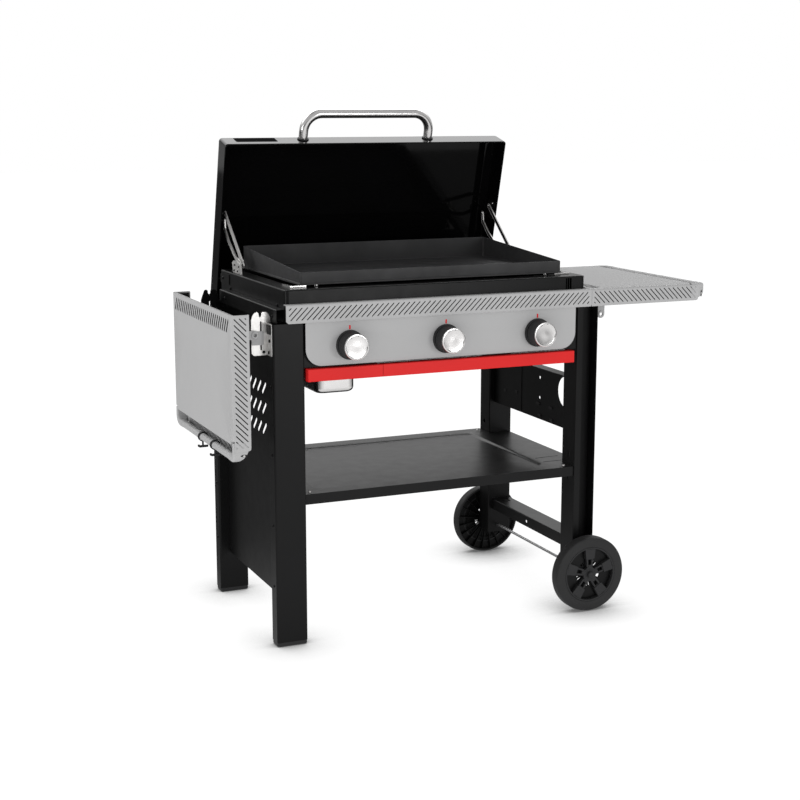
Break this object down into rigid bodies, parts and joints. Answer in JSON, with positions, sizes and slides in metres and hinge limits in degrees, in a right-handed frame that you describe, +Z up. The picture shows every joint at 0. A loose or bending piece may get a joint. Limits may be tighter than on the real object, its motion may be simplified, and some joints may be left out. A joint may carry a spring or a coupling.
{
  "type": "gas_griddle_cart",
  "caption": "Gas griddle barbecue on a two-wheeled cart with a linked lid, push-and-turn knobs, folding side shelves and a pull-out grease drawer",
  "frame": {"origin": "middle of the outer box at floor level, lid open, left shelf folded down, right shelf up", "axes": "+X to the right of a person at the controls, -Y towards that person, +Z up"},
  "size_m": [1.446, 0.7844, 1.4058],
  "materials": {
    "black_paint": "satin",
    "grey_paint": "satin",
    "red_paint": "gloss",
    "carbon_steel_plate": "matte",
    "black_enamel": "gloss",
    "brushed_steel": "brushed",
    "zinc_plated_steel": "satin",
    "brass": "satin",
    "black_plastic": "matte",
    "black_rubber": "matte"
  },
  "bodies": {
    "cart": {"leg_front_left": "black_paint", "leg_rear_left": "black_paint", "foot_front_left": "black_plastic", "foot_rear_left": "black_plastic", "leg_front_right": "black_paint", "leg_rear_right": "black_paint", "end_panel": "black_paint", "lower_shelf": "black_paint", "tank_bracket": "black_paint", "lower_crossbar": "black_paint", "front_rail": "black_paint", "rear_rail": "black_paint", "axle": "zinc_plated_steel", "firebox": "black_paint", "griddle_plate": "carbon_steel_plate", "gas_manifold": "zinc_plated_steel", "burner_left": "brushed_steel", "burner_middle": "brushed_steel", "burner_right": "brushed_steel", "bezel_left": "black_plastic", "bezel_middle": "black_plastic", "bezel_right": "black_plastic", "fascia_strip": "grey_paint", "control_panel": "grey_paint", "trim_bar": "red_paint", "drawer_rail_left": "zinc_plated_steel", "drawer_rail_right": "zinc_plated_steel", "firebox_hinge_left": "zinc_plated_steel", "firebox_hinge_right": "zinc_plated_steel", "shelf_bracket_front_left": "zinc_plated_steel", "shelf_bracket_rear_left": "black_paint", "shelf_bracket_front_right": "zinc_plated_steel", "shelf_bracket_rear_right": "black_paint"},
    "lid": {"lid_shell": "black_enamel", "lid_handle": "brushed_steel", "lid_bracket_left": "black_paint", "lid_bracket_right": "black_paint"},
    "lid_rear_links": {"lid_rear_link_left": "brushed_steel", "lid_rear_link_right": "brushed_steel"},
    "lid_front_links": {"lid_front_link_left": "brushed_steel", "lid_front_link_right": "brushed_steel"},
    "shelf_left": {"shelf_left": "grey_paint", "towel_rail_left": "grey_paint"},
    "shelf_right": {"shelf_right": "grey_paint", "towel_rail_right": "grey_paint"},
    "hook_front": {"hook_front": "black_plastic"},
    "hook_rear": {"hook_rear": "black_plastic"},
    "drawer": {"drawer_front": "red_paint", "grease_tray": "black_paint", "catch_cup": "brushed_steel"},
    "wheel_front": {"wheel_front": "black_plastic", "tyre_front": "black_rubber"},
    "wheel_rear": {"wheel_rear": "black_plastic", "tyre_rear": "black_rubber"},
    "valve_left": {"valve_stem_left": "brass"},
    "knob_left": {"knob_left": "black_plastic"},
    "valve_middle": {"valve_stem_middle": "brass"},
    "knob_middle": {"knob_middle": "black_plastic"},
    "valve_right": {"valve_stem_right": "brass"},
    "knob_right": {"knob_right": "black_plastic"}
  },
  "joints": [
    {"name": "lid_swing", "type": "hinge", "parent": "cart", "child": "lid_rear_links", "pos_m": [-0.1115, 0.1148, 0.9852], "axis": [1, 0, 0], "range_deg": [0, 144.12]},
    {"name": "lid_tilt", "type": "hinge", "parent": "lid_rear_links", "child": "lid", "pos_m": [-0.1115, 0.27988, 1.08883], "axis": [1, 0, 0], "range_deg": [-70, 0]},
    {"name": "lid_front_link_swing", "type": "hinge", "parent": "cart", "child": "lid_front_links", "pos_m": [-0.1115, 0.0938, 0.9811], "axis": [1, 0, 0], "range_deg": [0, 143]},
    {"name": "shelf_left_fold", "type": "hinge", "parent": "cart", "child": "shelf_left", "pos_m": [-0.624, -0.0627, 0.836], "axis": [0, 1, 0], "range_deg": [0, 90]},
    {"name": "shelf_right_fold", "type": "hinge", "parent": "cart", "child": "shelf_right", "pos_m": [0.401, -0.0627, 0.836], "axis": [0, 1, 0], "range_deg": [0, 90]},
    {"name": "drawer_pull", "type": "slide", "parent": "cart", "child": "drawer", "axis": [0, -1, 0], "range_m": [0, 0.25]},
    {"name": "wheel_front_spin", "type": "hinge", "parent": "cart", "child": "wheel_front", "pos_m": [0.3265, -0.3657, 0.108], "axis": [0, 1, 0], "continuous": true},
    {"name": "wheel_rear_spin", "type": "hinge", "parent": "cart", "child": "wheel_rear", "pos_m": [0.3265, 0.2818, 0.108], "axis": [0, 1, 0], "continuous": true},
    {"name": "hook_front_slide", "type": "slide", "parent": "shelf_left", "child": "hook_front", "axis": [0, 1, 0], "range_m": [-0.04, 0.04]},
    {"name": "hook_rear_slide", "type": "slide", "parent": "shelf_left", "child": "hook_rear", "axis": [0, 1, 0], "range_m": [-0.04, 0.04]},
    {"name": "valve_left_push", "type": "slide", "parent": "cart", "child": "valve_left", "axis": [0, 1, 0], "range_m": [0, 0.003], "stiffness_N_per_m": 1500},
    {"name": "knob_left_turn", "type": "hinge", "parent": "valve_left", "child": "knob_left", "pos_m": [-0.3795, -0.3627, 0.803], "axis": [0, -1, 0], "range_deg": [0, 150]},
    {"name": "valve_middle_push", "type": "slide", "parent": "cart", "child": "valve_middle", "axis": [0, 1, 0], "range_m": [0, 0.003], "stiffness_N_per_m": 1500},
    {"name": "knob_middle_turn", "type": "hinge", "parent": "valve_middle", "child": "knob_middle", "pos_m": [-0.103, -0.3627, 0.803], "axis": [0, -1, 0], "range_deg": [0, 150]},
    {"name": "valve_right_push", "type": "slide", "parent": "cart", "child": "valve_right", "axis": [0, 1, 0], "range_m": [0, 0.003], "stiffness_N_per_m": 1500},
    {"name": "knob_right_turn", "type": "hinge", "parent": "valve_right", "child": "knob_right", "pos_m": [0.1735, -0.3627, 0.803], "axis": [0, -1, 0], "range_deg": [0, 150]}
  ],
  "couplings": [
    {"joint": "lid_tilt", "follows": "lid_swing", "ratio": -0.47958},
    {"joint": "lid_front_link_swing", "follows": "lid_swing", "ratio": 0.9837}
  ]
}
